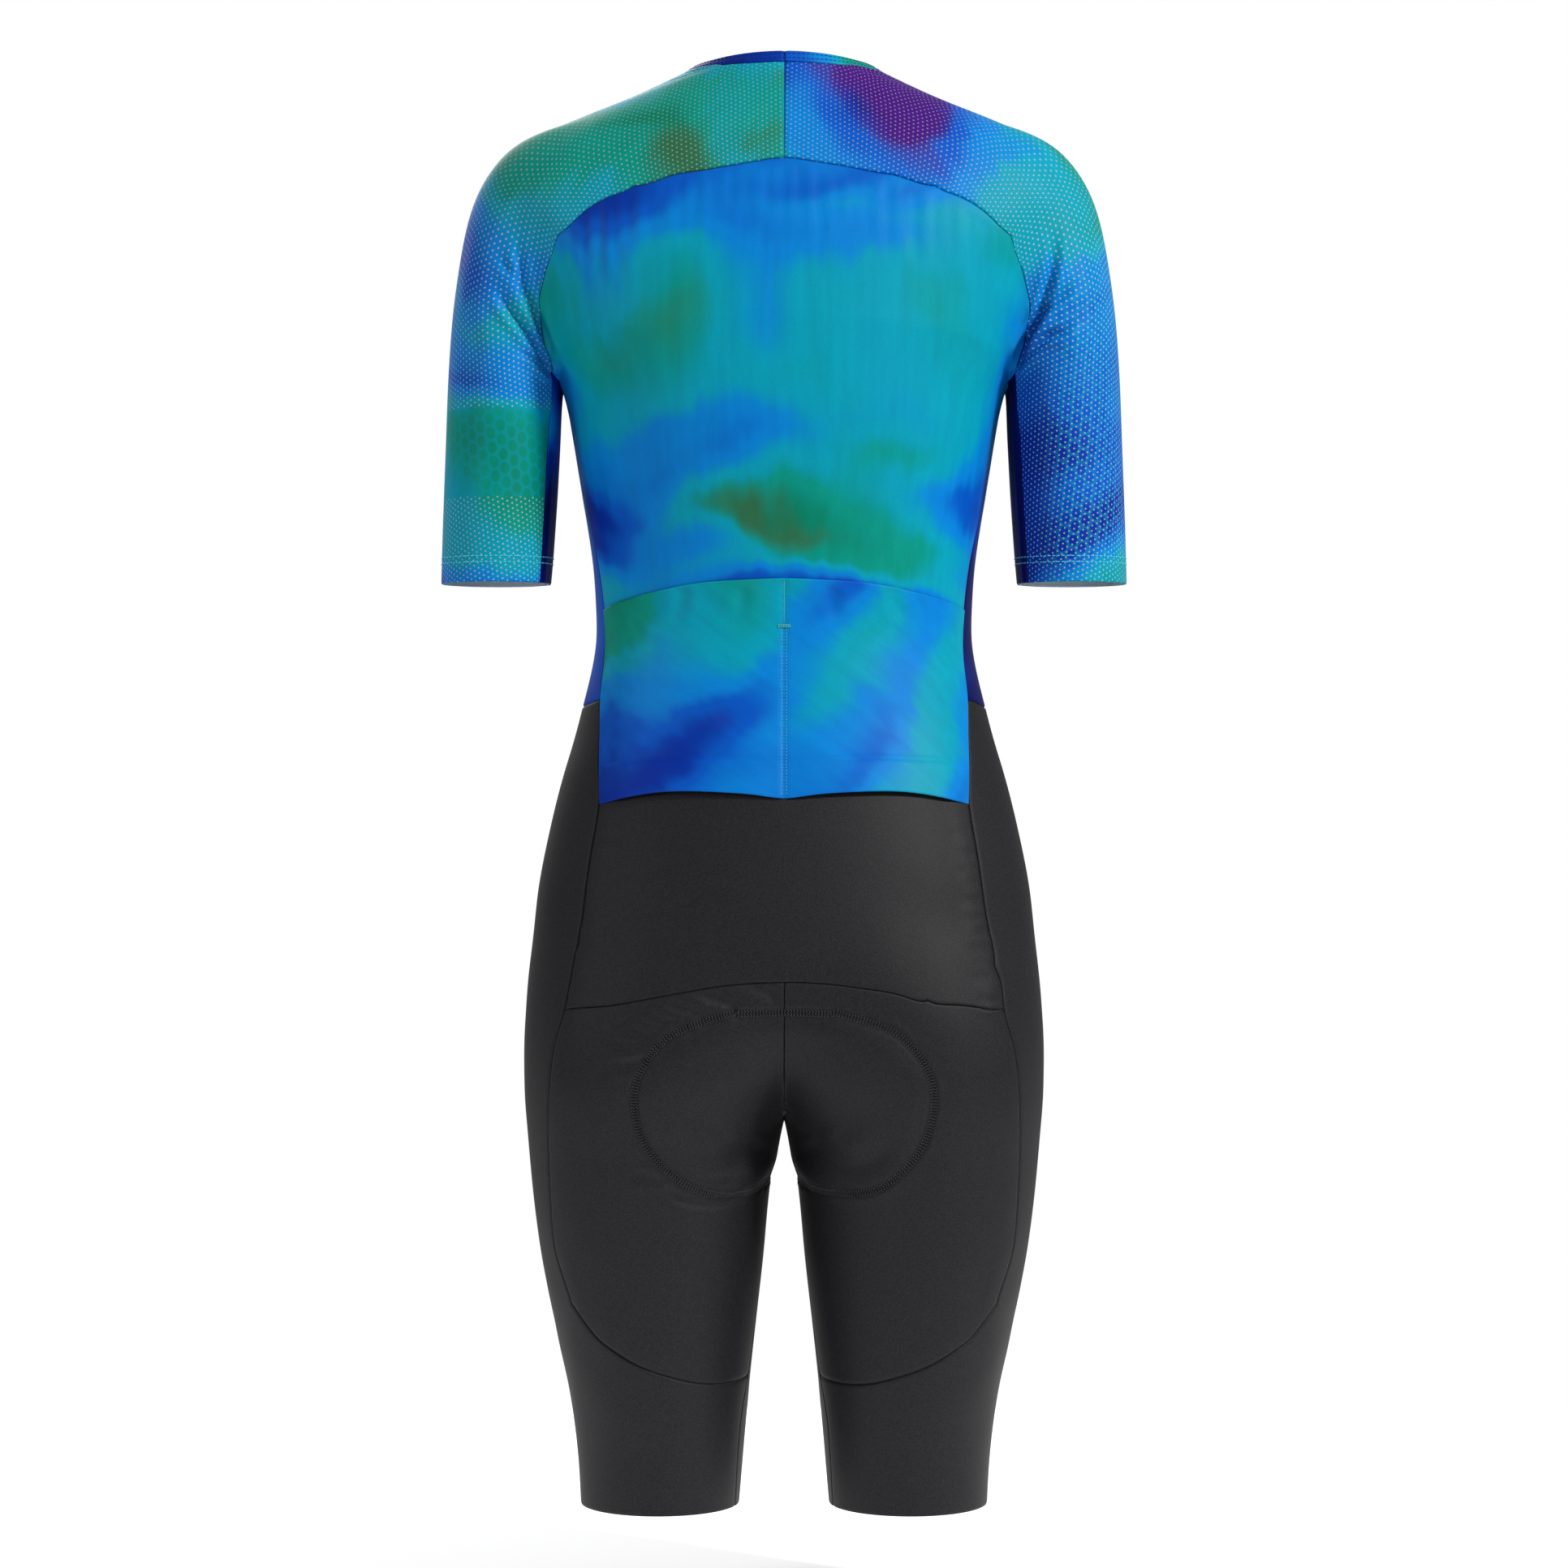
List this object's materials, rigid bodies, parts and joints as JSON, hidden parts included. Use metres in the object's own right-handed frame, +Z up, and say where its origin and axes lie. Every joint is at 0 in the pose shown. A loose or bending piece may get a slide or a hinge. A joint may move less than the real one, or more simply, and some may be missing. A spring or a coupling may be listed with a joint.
{
  "type": "one-piece cycling suit",
  "caption": "Women's one-piece cycling suit with half sleeves and shorts: marbled knit top with back pockets, plain dark shorts with a seat pad, front zip; shown as worn.",
  "frame": {"origin": "on the mid-plane between the shoulders, level with the side of the neck and above the middle of the trunk's depth, where the worn suit rests", "axes": "+Z up along the wearer, +Y to the wearer's back, +X to the wearer's left"},
  "size_m": [0.4392, 0.2348, 0.9217],
  "materials": {
    "back_knit": "satin smooth knit with a marbled print",
    "pocket_knit": "satin smooth knit with a marbled print",
    "mesh_knit": "matt knit with small round perforations and a marbled print",
    "side_knit": "satin smooth knit with a marbled print",
    "band_knit": "matt ribbed knit",
    "shorts_knit": "fine matt knit with a slight sheen",
    "pad_knit": "matt brushed knit over foam",
    "zip_tape": "woven tape with closed teeth",
    "zip_metal": "satin dark coat"
  },
  "bodies": {
    "suit": {"back_panel": "back_knit", "pocket_panel": "pocket_knit", "yoke_sleeve_left": "mesh_knit", "yoke_sleeve_right": "mesh_knit", "underarm_left": "side_knit", "underarm_right": "side_knit", "side_left": "side_knit", "side_right": "side_knit", "front_left": "back_knit", "front_right": "back_knit", "collar_left": "band_knit", "collar_right": "band_knit", "lower_back": "shorts_knit", "seat_left": "shorts_knit", "seat_right": "shorts_knit", "hip_left": "shorts_knit", "hip_right": "shorts_knit", "thigh_left": "shorts_knit", "thigh_right": "shorts_knit", "lower_leg_left": "shorts_knit", "lower_leg_right": "shorts_knit", "seat_pad": "pad_knit", "zip_tape": "zip_tape", "zip_slider": "zip_metal"},
    "pull": {"zip_pull": "zip_metal"}
  },
  "joints": [
    {"name": "pull_hinge", "type": "hinge", "parent": "suit", "child": "pull", "pos_m": [0, -0.06918, -0.04082], "axis": [-1, 0, 0], "range_deg": [0, 160]}
  ]
}
